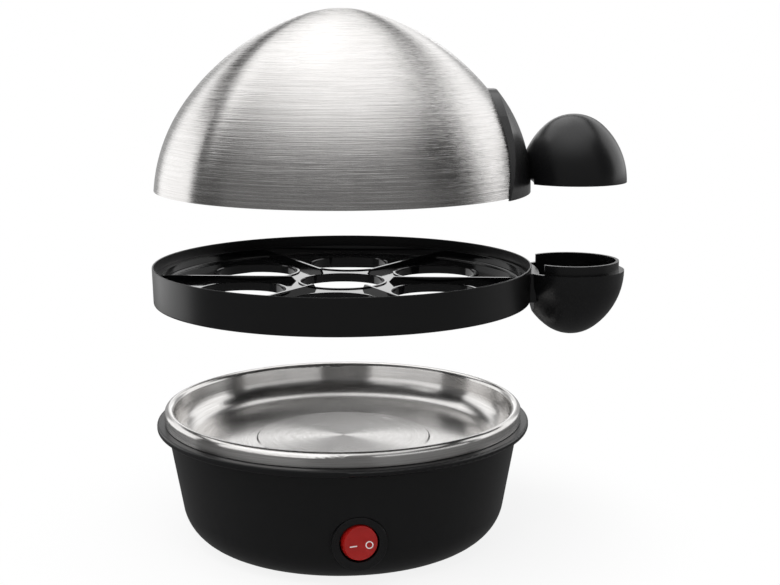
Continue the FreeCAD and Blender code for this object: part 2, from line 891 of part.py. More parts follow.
def contact_lever():
    """A flat strip with a roll across its middle, on which it tips."""
    half = lever_thickness / 2
    edge = lever_width / 2
    strip = block(-lever_half_length, lever_half_length, -edge, edge, lever_place - half, lever_place + half)
    roll = rod(point(0, -edge, lever_place), point(0, edge, lever_place), lever_roll_radius)
    return on_front(tilted(strip.fuse(roll), lever_place, -lever_tilt_deg))


# Egg tray and the lower half of the egg grip

def tray_outer_steps():
    half_lip = tray_lip_wall / 2
    lip_low = tray_rim - half_lip
    corner = tray_corner_round
    inset = corner * (1 - math.sqrt(0.5))
    return [
        (tray_radius - half_lip, tray_rim, tray_radius, lip_low),
        (tray_foot_radius, tray_bottom + corner),
        (tray_foot_radius - inset, tray_bottom + inset, tray_foot_radius - corner, tray_bottom),
    ]


def tray_outside():
    """The tray's outer shape as one full body."""
    start_z = tray_rim - tray_lip_wall / 2
    return turned((0, start_z), [(tray_lip_inner, start_z)] + tray_outer_steps() + [(0, tray_bottom)])


def egg_hole_places():
    turns = [egg_hole_turn_deg + full_turn * i / egg_hole_count for i in range(egg_hole_count)]
    return [(0, 0)] + [on_circle(egg_hole_ring, turn) for turn in turns]


def tray_rib():
    top = tray_floor_top + rib_height
    outer = (tray_inner_radius + tray_foot_radius) / 2
    profile = [
        (rib_inner_radius, tray_floor_top),
        (rib_inner_radius + rib_end_slope, top),
        (outer, top),
        (outer, tray_floor_top),
        (rib_inner_radius, tray_floor_top),
    ]
    corners = [point(x, -rib_thickness / 2, z) for x, z in profile]
    return Part.Face(Part.makePolygon(corners)).extrude(point(0, rib_thickness, 0))


def egg_tray():
    curve = tray_hollow_round
    inset = curve * (1 - math.sqrt(0.5))
    skirt_inner = tray_foot_radius - tray_skirt_wall
    steps = [
        (tray_inner_radius - curve, tray_floor_top),
        (tray_inner_radius - inset, tray_floor_top + inset, tray_inner_radius, tray_floor_top + curve),
        (tray_inner_radius, tray_ledge),
        (tray_lip_inner, tray_ledge),
        (tray_lip_inner, tray_rim - tray_lip_wall / 2),
    ]
    steps += tray_outer_steps()
    steps += [(skirt_inner, tray_bottom), (skirt_inner, tray_floor_under), (0, tray_floor_under)]
    tray = turned((0, tray_floor_top), steps)
    collar_top = tray_floor_top + collar_height
    collar_bottom = tray_floor_under - collar_skirt
    for x, y in egg_hole_places():
        tray = tray.fuse(cylinder(egg_hole_radius + collar_width, collar_bottom, collar_top, x, y))
    rib_turn_deg = egg_hole_turn_deg - full_turn / 2 / egg_hole_count
    for rib in around(tray_rib(), rib_count, rib_turn_deg):
        tray = tray.fuse(rib)
    mouth = turned((0, collar_top - collar_chamfer), [
        (egg_hole_radius, collar_top - collar_chamfer),
        (egg_hole_radius + collar_chamfer, collar_top),
        (egg_hole_radius + collar_chamfer, collar_top + overrun),
        (0, collar_top + overrun),
    ])
    for x, y in egg_hole_places():
        tray = tray.cut(cylinder(egg_hole_radius, collar_bottom - overrun, collar_top + overrun, x, y))
        tray = tray.cut(mouth.translated(point(x, y, 0)))
    pocket_low = tray_ledge - bracket_drop + seat_gap - bracket_pocket_gap
    pocket_top = tray_ledge + overrun
    pocket_half = bracket_half_width + bracket_pocket_gap
    pocket = ring(dome_radius - bracket_pocket_gap, tray_lip_inner, pocket_low, pocket_top)
    pocket = pocket.common(block(0, tray_radius, -pocket_half, pocket_half, pocket_low, pocket_top))
    return tray.cut(pocket).removeSplitter()


def oval_steps(base_z, height, cap_radius, inset, way):
    """Half an egg's outline: a side arc and a cap arc, from the widest place to the end."""
    side_radius = (egg_radius ** 2 + height ** 2 - 2 * height * cap_radius) / (2 * (egg_radius - cap_radius))
    side_x = egg_axis + egg_radius - side_radius
    cap_z = height - cap_radius
    joint_deg = math.degrees(math.atan2(cap_z, egg_axis - side_x))

    def arc(centre_x, centre_z, radius, first_deg, last_deg):
        ends = []
        for turn in ((first_deg + last_deg) / 2, last_deg):
            along, rise = on_circle(radius - inset, turn)
            ends += [centre_x + along, base_z + way * (centre_z + rise)]
        return tuple(ends)

    return [
        arc(side_x, 0, side_radius, 0, joint_deg),
        arc(egg_axis, cap_z, cap_radius, joint_deg, full_turn / 4),
    ]


def half_egg(base_z, height, cap_radius, inset, way):
    steps = [(egg_axis + egg_radius - inset, base_z)] + oval_steps(base_z, height, cap_radius, inset, way)
    return turned((egg_axis, base_z), steps, egg_axis)


def tray_cup():
    """The lower half of the egg: a cup with a C-shaped collar, joined to the tray by a web."""
    cup = half_egg(cup_shoulder, cup_depth, cup_cap_radius, 0, -1)
    cup = cup.cut(cylinder(cup_cut_radius, cup_shoulder - cup_depth - overrun, cup_shoulder + overrun))
    near = cup_cut_radius + cup_cut_wall
    web_radius = cup_cut_radius + cup_cut_wall / 2
    web = cylinder(web_radius, tray_bottom, cup_shoulder)
    web = web.common(block(0, egg_axis, -web_half_width, web_half_width, tray_bottom, cup_shoulder))
    cup = cup.fuse(web.cut(tray_outside()))
    hollow = half_egg(cup_shoulder, cup_depth, cup_cap_radius, egg_wall, -1)
    cup = cup.cut(hollow.cut(cylinder(near, cup_shoulder - cup_depth, cup_shoulder + overrun)))
    collar_outer = egg_radius - egg_wall - cup_collar_gap
    collar_inner = collar_outer - cup_collar_wall
    root_low = cup_shoulder - cup_collar_root
    collar_top = cup_shoulder + cup_collar_height
    collar = ring(collar_inner, collar_outer, root_low, collar_top, egg_axis, 0)
    collar = collar.fuse(ring(collar_inner, egg_radius - egg_wall / 2, root_low, cup_shoulder, egg_axis, 0))
    reach = egg_axis + egg_radius
    collar = collar.common(block(egg_axis - cup_collar_end, reach, -reach, reach, root_low, collar_top))
    return cup.fuse(collar).removeSplitter()


# Dome, bracket and the upper half of the egg grip

def dome_arcs():
    """Centre radius, centre height above the edge, radius, first and last lean of each arc."""
    first = dome_lean_deg
    middle = first + dome_side_deg
    last = middle + dome_shoulder_deg
    along, rise = on_circle(dome_side_radius, first)
    side = (dome_radius - along, -rise, dome_side_radius, first, middle)
    along, rise = on_circle(dome_side_radius - dome_shoulder_radius, middle)
    shoulder = (side[0] + along, side[1] + rise, dome_shoulder_radius, middle, last)
    cap_radius = dome_shoulder_radius + shoulder[0] / math.cos(math.radians(last))
    cap_height = shoulder[1] - shoulder[0] * math.tan(math.radians(last))
    return side, shoulder, (0, cap_height, cap_radius, last, full_turn / 4)


def dome_body(inset):
    """The dome as a full body, drawn in by the inset and run down past the edge."""
    steps = []
    for centre_r, centre_z, radius, first, last in dome_arcs():
        ends = []
        for lean in (first, (first + last) / 2, last):
            along, rise = on_circle(radius - inset, lean)
            ends.append((centre_r + along, dome_edge + centre_z + rise))
        if not steps:
            steps += [(ends[0][0], dome_edge - overrun), ends[0]]
        steps.append((*ends[1], *ends[2]))
    steps[-1] = (*steps[-1][:2], 0, steps[-1][3])
    return turned((0, dome_edge - overrun), steps)


def dome_radius_at(height):
    side, shoulder = dome_arcs()[:2]
    side_top = side[1] + on_circle(side[2], side[4])[1]
    centre_r, centre_z, radius = side[:3] if height < side_top else shoulder[:3]
    return centre_r + math.sqrt(radius ** 2 - (height - centre_z) ** 2)


def below_dome():
    return cylinder(flange_radius + overrun, dome_edge - 2 * overrun, dome_edge)


def lid_dome(screws):
    dome = dome_body(0).cut(dome_body(dome_sheet))
    hem = dome_body(0).common(ring(dome_radius - hem_width, flange_radius, dome_edge, dome_edge + hem_height))
    dome = dome.cut(below_dome()).fuse(hem)
    for screw in screws:
        dome = dome.cut(screw)
    return dome.removeSplitter()


def bracket_body(extra):
    """The bracket's outer surface turned into a full body, let out by the extra."""
    half = bracket_height / 2
    top_z = dome_edge + bracket_height
    bottom = dome_radius + bracket_bottom_proud + extra
    middle = dome_radius_at(half) + bracket_middle_proud + extra
    top = dome_radius_at(bracket_height) + bracket_top_proud + extra
    upper = (middle, dome_edge + half, top, top_z)
    return turned((0, bracket_bottom), [(bottom, bracket_bottom), (bottom, dome_edge), upper, (0, top_z)])


def bracket_outline():
    """The shield shape, drawn across the front of the dome and run out along X."""
    def at(shares):
        return point(0, shares[0] * bracket_half_width, dome_edge + shares[1] * bracket_height)

    foot = point(0, bracket_half_width, bracket_bottom)
    side_end = at(bracket_side_end_shares)
    top_end = point(0, bracket_top_end_share * bracket_half_width, dome_edge + bracket_height)
    side = Part.Arc(foot, at(bracket_side_middle_shares), side_end).toShape()
    corner = Part.Arc(side_end, at(bracket_corner_middle_shares), top_end).toShape()
    mirrored = [edge.mirror(point(0, 0, 0), point(0, 1, 0)) for edge in (side, corner)]
    top = Part.makeLine(top_end, point(0, -top_end.y, top_end.z))
    bottom = Part.makeLine(foot, point(0, -foot.y, foot.z))
    face = Part.Face(Part.Wire(Part.__sortEdges__([side, corner, top, bottom] + mirrored)))
    return face.extrude(point(flange_radius + overrun, 0, 0))


def lid_bracket(screws):
    bracket = bracket_body(0).common(bracket_outline()).cut(dome_body(0))
    for screw in screws:
        bracket = bracket.cut(screw)
    return bracket


def backplate_face():
    """How far out the backplate's flat face lies, the plate being thinnest at its top corners."""
    corner = dome_radius_at(handle_screw_rise + backplate_half_height) - dome_sheet
    return math.sqrt(corner ** 2 - backplate_half_width ** 2) - backplate_thickness


def handle_screws():
    face = backplate_face()
    z = dome_edge + handle_screw_rise
    screws = []
    for y in (-handle_screw_spread, handle_screw_spread):
        head = rod(point(face - handle_head_height, y, z), point(face, y, z), handle_head_radius)
        shank = rod(point(face, y, z), point(face + handle_screw_length, y, z), handle_screw_radius)
        screws.append(head.fuse(shank))
    return screws


def handle_backplate(screws):
    z = dome_edge + handle_screw_rise
    plate = block(backplate_face(), dome_radius, -backplate_half_width, backplate_half_width,
                  z - backplate_half_height, z + backplate_half_height)
    plate = plate.common(dome_body(dome_sheet))
    for screw in screws:
        plate = plate.cut(screw)
    return plate


def upper_egg_shell(screws):
    """The upper half of the egg, cut off where it meets the bracket and walled there."""
    egg = half_egg(egg_edge, egg_top_height, egg_top_cap_radius, 0, 1)
    hollow = half_egg(egg_edge, egg_top_height, egg_top_cap_radius, egg_wall, 1)
    hollow = hollow.cut(bracket_body(cup_cut_wall))
    boss_end = grip_wall_end + handle_boss_length
    z = dome_edge + handle_screw_rise
    for y in (-handle_screw_spread, handle_screw_spread):
        hollow = hollow.cut(rod(point(backplate_face(), y, z), point(boss_end, y, z), handle_boss_radius))
    egg = egg.cut(hollow).cut(bracket_body(0))
    notch_top = tray_rim + dome_raise + egg_notch_gap
    egg = egg.cut(cylinder(tray_radius + egg_notch_gap, egg_edge - overrun, notch_top))
    for screw in screws:
        egg = egg.cut(screw)
    return egg


os.makedirs("parts", exist_ok=True)


def save(name, shape):
    shape.exportStep("parts/" + name + ".step")
    print(name, len(shape.Solids), "solids,", round(shape.Volume), "mm3,", "valid:", shape.isValid())


cover_screws = around(cover_screw(), boss_count, boss_turn_deg)
feet = around(rubber_foot(), foot_count)
grip_screws = handle_screws()

save("base_housing", base_housing())
save("bottom_cover", bottom_cover(cover_screws, feet))
save("cover_screws", group(cover_screws))
save("rubber_feet", group(feet))
save("cord_grommet", cord_grommet())
save("terminal_block", terminal_block())
save("terminal_screws", terminal_screws())
save("heating_dish", heating_dish())
save("dish_gasket", dish_gasket())
save("dish_studs", dish_studs())
save("dish_stud_nuts", dish_stud_nuts())
save("heat_spreader", cylinder(spreader_radius, spreader_bottom, dish_centre_under))
save("heater_element", heater_element())
save("element_clamp", element_clamp())
save("clamp_studs", clamp_studs())
save("clamp_nuts", clamp_nuts())
save("heat_shield", heat_shield())
save("thermostat", thermostat())
save("thermal_fuse", thermal_fuse())
save("lead_feed", lead_feed())
save("lead_switched", lead_switched())
save("lead_element", lead_element())
save("lead_neutral", lead_neutral())
save("lead_earth", lead_earth())
save("switch_body", switch_body())
save("switch_blades", on_front(group(switch_blades())))
save("rocker_button", rocker_button())
save("rocker_plunger", rocker_plunger())
save("indicator_lamp", indicator_lamp())
save("contact_lever", contact_lever())
save("egg_tray", egg_tray())
save("tray_cup", tray_cup())
save("lid_dome", lid_dome(grip_screws))
save("lid_bracket", lid_bracket(grip_screws))
save("upper_egg_shell", upper_egg_shell(grip_screws))
save("handle_backplate", handle_backplate(grip_screws))
save("handle_screws", group(grip_screws))
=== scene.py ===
import math
import bpy
import numpy as np
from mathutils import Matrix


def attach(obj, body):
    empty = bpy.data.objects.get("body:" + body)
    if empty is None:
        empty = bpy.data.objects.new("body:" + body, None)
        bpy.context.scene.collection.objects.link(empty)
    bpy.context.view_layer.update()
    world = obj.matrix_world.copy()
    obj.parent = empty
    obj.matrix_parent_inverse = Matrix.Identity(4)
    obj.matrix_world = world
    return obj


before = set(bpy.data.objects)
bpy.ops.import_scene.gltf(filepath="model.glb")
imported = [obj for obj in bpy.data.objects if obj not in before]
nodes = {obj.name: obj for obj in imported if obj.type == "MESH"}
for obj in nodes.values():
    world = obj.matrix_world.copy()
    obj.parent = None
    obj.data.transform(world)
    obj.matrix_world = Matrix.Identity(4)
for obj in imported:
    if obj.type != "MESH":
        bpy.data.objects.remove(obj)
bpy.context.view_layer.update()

print("frame loaded:", len(nodes), "nodes")


# a socket with arithmetic: every operator adds one Math node
class Value:
    def __init__(self, shader, socket):
        self.shader = shader
        self.socket = socket

    def calc(self, operation, *others, swap=False):
        terms = [self, *others]
        if swap:
            terms.reverse()
        return self.shader.node("Math", {"operation": operation}, dict(enumerate(terms)))

    def __add__(self, other): return self.calc("ADD", other)
    def __radd__(self, other): return self.calc("ADD", other)
    def __sub__(self, other): return self.calc("SUBTRACT", other)
    def __rsub__(self, other): return self.calc("SUBTRACT", other, swap=True)
    def __mul__(self, other): return self.calc("MULTIPLY", other)
    def __rmul__(self, other): return self.calc("MULTIPLY", other)
    def __truediv__(self, other): return self.calc("DIVIDE", other)
    def __rtruediv__(self, other): return self.calc("DIVIDE", other, swap=True)

    def root(self): return self.calc("SQRT")
    def size(self): return self.calc("ABSOLUTE")
    def higher(self, other): return self.calc("MAXIMUM", other)

    # 0 below start, 1 above end, smooth between them; start may be the larger one
    def step(self, start, end):
        return self.shader.node("MapRange", {"interpolation_type": "SMOOTHSTEP"},
                                {"Value": self, "From Min": start, "From Max": end})

    # 1 inside the band from low to high, falling to 0 over the edge's width
    def band(self, low, high, edge):
        return self.step(low - edge, low) * self.step(high + edge, high)

    # a span of two numbers is a step, one of three a band
    def within(self, span):
        return self.band(*span) if len(span) == 3 else self.step(*span)

    # this value where the mask is 0, the other one where it is 1
    def turnTo(self, other, mask):
        return self * (1.0 - mask) + mask * other


# the nodes of one material, or of the world
class Shader:
    def __init__(self, name, kind="materials"):
        self.owner = getattr(bpy.data, kind).new(name)
        self.owner.use_nodes = True
        self.tree = self.owner.node_tree
        self.tree.nodes.clear()
        self.place = self.node("TexCoord", output="Object")

    # any node: its settings go first, with a ramp's stops, then the values or links of its sockets
    def node(self, kind, settings=None, inputs=None, output=0):
        made = self.tree.nodes.new("ShaderNode" + kind)
        for key, value in (settings or {}).items():
            if key == "stops":
                self.setStops(made.color_ramp, value)
            else:
                setattr(made, key, value)
        for key, value in (inputs or {}).items():
            socket = self.pick(made.inputs, key)
            if isinstance(value, Value):
                self.tree.links.new(value.socket, socket)
            else:
                socket.default_value = value
        return Value(self, self.pick(made.outputs, output)) if len(made.outputs) else None

    # place along the ramp and grey there; the ramp has its two end stops already
    def setStops(self, ramp, stops):
        for place, grey in stops[1:-1]:
            ramp.elements.new(place).color = (grey, grey, grey, 1)
        for end in (0, -1):
            grey = stops[end][1]
            ramp.elements[end].color = (grey, grey, grey, 1)

    # a socket by number, or the one in use that has that name
    def pick(self, sockets, key):
        if isinstance(key, int):
            return sockets[key]
        return next(socket for socket in sockets if socket.name == key and socket.enabled)

    def axes(self, vector):
        return [self.node("SeparateXYZ", None, {"Vector": vector}, axis) for axis in "XYZ"]

    def vector(self, x, y, z):
        return self.node("CombineXYZ", None, {"X": x, "Y": y, "Z": z})

    def noise(self, vector, scale, detail, roughness=0.5):
        return self.node("TexNoise", None, {"Vector": vector, "Scale": scale, "Detail": detail,
                                            "Roughness": roughness}, "Fac")

    # the dark tone where the share is 0, the light one where it is 1
    def tone(self, share, dark, light):
        return self.node("Mix", {"data_type": "RGBA"},
                         {"Factor": share, "A": (*dark, 1), "B": (*light, 1)}, "Result")

    def bump(self, height, strength, distance):
        return self.node("Bump", None, {"Height": height, "Strength": strength, "Distance": distance})

    def ray(self, kind):
        return self.node("LightPath", output="Is " + kind + " Ray")

    # light of its own, white and as bright as the value
    def glow(self, bright):
        return self.node("Emission", None, {"Color": bright, "Strength": 1.0})

    def show(self, surface, kind="OutputMaterial"):
        self.node(kind, None, {"Surface": surface})
        return self.owner

    def finish(self, **sockets):
        shown = {key.replace("_", " "): value for key, value in sockets.items()}
        return self.show(self.node("BsdfPrincipled", None, shown))


# distance from the upright axis: the root of x squared plus y squared
def fromAxis(x, y):
    return (x * x + y * y).root()


# a noise's make is its detail and its roughness
plasticMarks = {"flowDetail": 3.0, "grainMake": (2.0, 0.6), "skinEdge": 0.0006}
housingLook = {"dark": (0.005, 0.005, 0.0055), "light": (0.0075, 0.0075, 0.008), "roughness": 0.34,
               "glossChange": 0.05, "grainGloss": 0.06, "ior": 1.5, "specular": 0.4, "flowScale": 18.0,
               "grainScale": 4200.0, "grainStrength": 0.1, "grainDepth": 0.00003}
gripLook = {"dark": (0.004, 0.004, 0.0045), "light": (0.006, 0.006, 0.0065), "roughness": 0.28,
            "glossChange": 0.05, "grainGloss": 0.06, "ior": 1.5, "specular": 0.5, "flowScale": 30.0,
            "grainScale": 4200.0, "grainStrength": 0.08, "grainDepth": 0.00003}
trayLook = {"dark": (0.003, 0.003, 0.0034), "light": (0.0045, 0.0045, 0.005), "roughness": 0.07,
            "glossChange": 0.03, "grainGloss": 0.02, "ior": 1.5, "specular": 0.5, "flowScale": 26.0,
            "grainScale": 5200.0, "grainStrength": 0.02, "grainDepth": 0.00002,
            "skinRadius": 0.0868, "skinRoughness": 0.24}


# moulded plastic: spark-eroded grain, faint flow marks and a slight change of gloss;
# further from the axis than a skin radius it is more matt
def mouldedPlastic(name, look):
    shader = Shader(name)
    marks = plasticMarks
    flow = shader.noise(shader.place, look["flowScale"], marks["flowDetail"])
    grain = shader.noise(shader.place, look["grainScale"], *marks["grainMake"])
    rough = look["roughness"] + (flow - 0.5) * look["glossChange"] + (grain - 0.5) * look["grainGloss"]
    if "skinRadius" in look:
        x, y, _ = shader.axes(shader.place)
        skin = fromAxis(x, y).step(look["skinRadius"], look["skinRadius"] + marks["skinEdge"])
        rough = rough + skin * look["skinRoughness"]
    return shader.finish(Base_Color=shader.tone(flow, look["dark"], look["light"]), Roughness=rough,
                         IOR=look["ior"], Specular_IOR_Level=look["specular"],
                         Normal=shader.bump(grain, look["grainStrength"], look["grainDepth"]))


brushMarks = {"core": 0.0001, "fine": (3.0, 0.65), "broad": (2.0, 0.5), "cloudDetail": 3.0,
              "fineShare": 0.7, "broadShare": 0.3, "toneSpan": (0.3, 0.7), "cloudGloss": 0.06,
              "discEdge": 0.001}
domeLook = {"slant": -1.0, "length": 1.9, "fine": 1800.0, "broad": 700.0, "cloud": 14.0,
            "dark": (0.6, 0.586, 0.574), "light": (0.77, 0.755, 0.745), "roughness": 0.23,
            "glossChange": 0.45, "anisotropic": 0.9, "across": 0.25, "strength": 1.0, "depth": 0.00022}
dishLook = {"slant": 1.0, "length": 3.0, "fine": 2400.0, "broad": 600.0, "cloud": 18.0,
            "dark": (0.6, 0.585, 0.57), "light": (0.76, 0.75, 0.74), "roughness": 0.2,
            "glossChange": 0.06, "anisotropic": 0.9, "across": 0.25, "strength": 0.08,
            "depth": 0.00003, "discRadius": 0.0415, "discRoughness": 0.06}


# brushed steel of revolution: the streaks run round the axis and change along the profile,
# which is the height plus the radius times the slant; the disc in the dish's middle is more matt
def spunSteel(name, look):
    shader = Shader(name)
    marks = brushMarks
    x, y, z = shader.axes(shader.place)
    radius = fromAxis(x, y) + marks["core"]
    along = z + radius * look["slant"]
    aroundX = x / radius * look["length"]
    aroundY = y / radius * look["length"]

    def streaks(kind):
        return shader.noise(shader.vector(aroundX, aroundY, along * look[kind]), 1.0, *marks[kind])

    fine = streaks("fine")
    streak = fine * marks["fineShare"] + streaks("broad") * marks["broadShare"]
    cloud = shader.noise(shader.place, look["cloud"], marks["cloudDetail"])
    rough = look["roughness"] + (fine - 0.5) * look["glossChange"] + (cloud - 0.5) * marks["cloudGloss"]
    if "discRadius" in look:
        rim, edge = look["discRadius"], marks["discEdge"]
        rough = rough + radius.step(rim + edge, rim - edge) * look["discRoughness"]
    colour = shader.tone(streak.step(*marks["toneSpan"]), look["dark"], look["light"])
    return shader.finish(Base_Color=colour, Roughness=rough, Metallic=1.0,
                         Anisotropic=look["anisotropic"], Anisotropic_Rotation=look["across"],
                         Normal=shader.bump(streak, look["strength"], look["depth"]))


# each slot's name, dark tone, light tone and roughness
metalLooks = {
    "zinc_steel": ("zinc-plated steel", (0.42, 0.42, 0.41), (0.6, 0.6, 0.58), 0.36),
    "plate_steel": ("plain sheet steel", (0.4, 0.4, 0.4), (0.54, 0.54, 0.53), 0.42),
    "cast_aluminium": ("cast aluminium", (0.5, 0.5, 0.5), (0.68, 0.68, 0.68), 0.5),
    "contact_brass": ("contact brass", (0.58, 0.4, 0.14), (0.75, 0.55, 0.24), 0.3),
    "heater_sheath": ("heat-tinted sheath", (0.2, 0.19, 0.18), (0.42, 0.39, 0.35), 0.45),
}
metalMarks = {"cloudScale": 220.0, "cloudMake": (4.0, 0.6), "cloudGloss": 0.2,
              "scratchAlong": 300.0, "scratchAcross": 2500.0, "scratchDetail": 2.0,
              "scratchGloss": 0.1, "scratchStrength": 0.2, "scratchDepth": 0.00003}


# plain metal: fine noise in colour and gloss, with a trace of scratches
def plainMetal(name, dark, light, roughness):
    shader = Shader(name)
    marks = metalMarks
    cloud = shader.noise(shader.place, marks["cloudScale"], *marks["cloudMake"])
    x, y, z = shader.axes(shader.place)
    across = marks["scratchAcross"]
    scratchPlace = shader.vector(x * marks["scratchAlong"], y * across, z * across)
    scratch = shader.noise(scratchPlace, 1.0, marks["scratchDetail"])
    rough = roughness + (cloud - 0.5) * marks["cloudGloss"] + (scratch - 0.5) * marks["scratchGloss"]
    return shader.finish(Base_Color=shader.tone(cloud, dark, light), Roughness=rough, Metallic=1.0,
                         Normal=shader.bump(scratch, marks["scratchStrength"], marks["scratchDepth"]))


mattLooks = {
    "black_rubber": ("black rubber", (0.016, 0.016, 0.016), (0.03, 0.03, 0.029), 0.75),
    "grey_silicone": ("grey silicone", (0.36, 0.36, 0.34), (0.46, 0.46, 0.44), 0.6),
    "white_plastic": ("white insulating plastic", (0.66, 0.65, 0.6), (0.76, 0.75, 0.71), 0.45),
    "dark_phenolic": ("dark phenolic", (0.04, 0.024, 0.015), (0.075, 0.047, 0.03), 0.5),
}
mattMarks = {"cloudScale": 180.0, "cloudDetail": 3.0, "cloudGloss": 0.12, "grainScale": 3500.0,
             "grainDetail": 2.0, "grainStrength": 0.25, "grainDepth": 0.00004}


# soft matt stuff: rubber, silicone and phenolic, clouded in colour and gloss over a fine grain
def mattStuff(name, dark, light, roughness):
    shader = Shader(name)
    marks = mattMarks
    cloud = shader.noise(shader.place, marks["cloudScale"], marks["cloudDetail"])
    grain = shader.noise(shader.place, marks["grainScale"], marks["grainDetail"])
    return shader.finish(Base_Color=shader.tone(cloud, dark, light),
                         Roughness=roughness + (cloud - 0.5) * marks["cloudGloss"],
                         Normal=shader.bump(grain, marks["grainStrength"], marks["grainDepth"]))


rockerLook = {"dark": (0.34, 0.008, 0.006), "light": (0.46, 0.014, 0.012), "cloudScale": 260.0,
              "cloudDetail": 3.0, "roughness": 0.2, "glossChange": 0.08, "ior": 1.49, "specular": 0.5,
              "inside": 0.35, "insideScale": 0.0012, "insideRadius": (1.0, 0.12, 0.08),
              "coat": 0.25, "coatRoughness": 0.12, "bumpStrength": 0.05, "bumpDepth": 0.00005}


# red plastic of the rocker: light goes a little way into it
def rockerRed(look):
    shader = Shader("red rocker plastic")
    cloud = shader.noise(shader.place, look["cloudScale"], look["cloudDetail"])
    return shader.finish(Base_Color=shader.tone(cloud, look["dark"], look["light"]),
                         Roughness=look["roughness"] + cloud * look["glossChange"],
                         IOR=look["ior"], Specular_IOR_Level=look["specular"],
                         Subsurface_Weight=look["inside"], Subsurface_Scale=look["insideScale"],
                         Subsurface_Radius=look["insideRadius"], Coat_Weight=look["coat"],
                         Coat_Roughness=look["coatRoughness"],
                         Normal=shader.bump(cloud, look["bumpStrength"], look["bumpDepth"]))


sleeveLook = {"dark": (0.5, 0.47, 0.38), "light": (0.72, 0.69, 0.6), "weaveScale": 4200.0,
              "toneSpan": (-0.6, 0.6), "roughness": 0.8, "weaveStrength": 0.5, "weaveDepth": 0.0001}


# braided glass sleeve of the leads: two crossed sine waves, one times the other
def leadSleeve(look):
    shader = Shader("braided lead sleeve")
    x, y, z = shader.axes(shader.place)
    rising = ((x + y + z) * look["weaveScale"]).calc("SINE")
    falling = ((x - y + z) * look["weaveScale"]).calc("SINE")
    weave = rising * falling
    colour = shader.tone(weave.step(*look["toneSpan"]), look["dark"], look["light"])
    return shader.finish(Base_Color=colour, Roughness=look["roughness"],
                         Normal=shader.bump(weave, look["weaveStrength"], look["weaveDepth"]))


glassLook = {"dark": (0.85, 0.42, 0.25), "light": (0.95, 0.55, 0.35), "cloudScale": 400.0,
             "cloudDetail": 2.0, "roughness": 0.08, "glossChange": 0.06, "ior": 1.5, "clear": 0.6}


# clear lamp body with a warm tint
def lampGlass(look):
    shader = Shader("lamp glass")
    cloud = shader.noise(shader.place, look["cloudScale"], look["cloudDetail"])
    return shader.finish(Base_Color=shader.tone(cloud, look["dark"], look["light"]),
                         Roughness=look["roughness"] + cloud * look["glossChange"],
                         IOR=look["ior"], Transmission_Weight=look["clear"])


finishes = {
    "black_plastic": mouldedPlastic("satin black plastic", housingLook),
    "tray_plastic": mouldedPlastic("half-gloss black plastic", trayLook),
    "dome_steel": spunSteel("brushed dome steel", domeLook),
    "dish_steel": spunSteel("spun dish steel", dishLook),
    "red_plastic": rockerRed(rockerLook),
    "lamp_glass": lampGlass(glassLook),
    "wire_sleeve": leadSleeve(sleeveLook),
}
finishes.update({slot: plainMetal(*look) for slot, look in metalLooks.items()})
finishes.update({slot: mattStuff(*look) for slot, look in mattLooks.items()})
for node in nodes.values():
    for place in node.material_slots:
        place.material = finishes[place.material.name.split(".")[0]]

# the grip, the bracket and the switch are smoother than the housing, in the same slot
gripPlastic = mouldedPlastic("smooth satin black plastic", gripLook)
for name in ("tray_cup", "upper_egg_shell", "lid_bracket", "switch_body"):
    nodes[name].material_slots[0].material = gripPlastic
print("finishes assigned")


# a mesh from a grid of points, rows by columns; closed columns join the last one to the first
def gridMesh(name, points, closeColumns=False):
    rows, columns = points.shape[:2]
    index = np.arange(rows * columns).reshape(rows, columns)
    if closeColumns:
        index = np.hstack([index, index[:, :1]])
    corners = [index[:-1, :-1], index[:-1, 1:], index[1:, 1:], index[1:, :-1]]
    mesh = bpy.data.meshes.new(name)
    mesh.from_pydata(points.reshape(-1, 3), [], np.stack(corners, axis=-1).reshape(-1, 4))
    mesh.update()
    mesh.shade_smooth()
    made = bpy.data.objects.new(name, mesh)
    bpy.context.scene.collection.objects.link(made)
    return made


# angles of a full circle, one for each column
def fullCircle(count):
    return np.linspace(0, 2 * math.pi, count, endpoint=False)[None, :]


markSizes = {"pivot": (0.006589, -0.075312, 0.0215), "turn": 14.0, "front": 0.0042, "hollow": 0.0008,
             "rim": 0.00739, "lift": 0.00003, "thickness": 0.00004, "roundness": 0.98,
             "dash": (-0.0033, -0.0012, 0.0034, 0.0005), "dashGrid": (9, 25),
             "ring": (0.0039, -0.0011, 0.0015, 0.00045), "ringGrid": (5, 64)}


# a point of the hollowed face, across it and up it: the face is part of a round of radius
# (rim squared plus hollow squared) over twice the hollow, turned about the rocker's pivot
def onRocker(across, up):
    size = markSizes
    curve = (size["rim"] ** 2 + size["hollow"] ** 2) / (2 * size["hollow"])
    out = size["front"] - size["hollow"] + curve - np.sqrt(curve ** 2 - across ** 2) + size["lift"]
    turn = math.radians(size["turn"])
    x = size["pivot"][0] + across * math.cos(turn) + out * math.sin(turn)
    y = size["pivot"][1] + across * math.sin(turn) - out * math.cos(turn)
    return np.stack([x, y, size["pivot"][2] + up], axis=-1)


# the dash: straight across with round ends, each row of it narrowed by a half circle at the ends
def dashMark():
    middleX, middleZ, length, height = markSizes["dash"]
    rows, columns = markSizes["dashGrid"]
    side = np.linspace(-1, 1, rows)[:, None]
    run = np.linspace(-1, 1, columns)[None, :]
    end = length / 2 - height / 2 * (1 - np.sqrt(1 - side ** 2 * markSizes["roundness"]))
    return gridMesh("rocker_dash", onRocker(middleX + run * end, middleZ + side * height / 2 + run * 0))


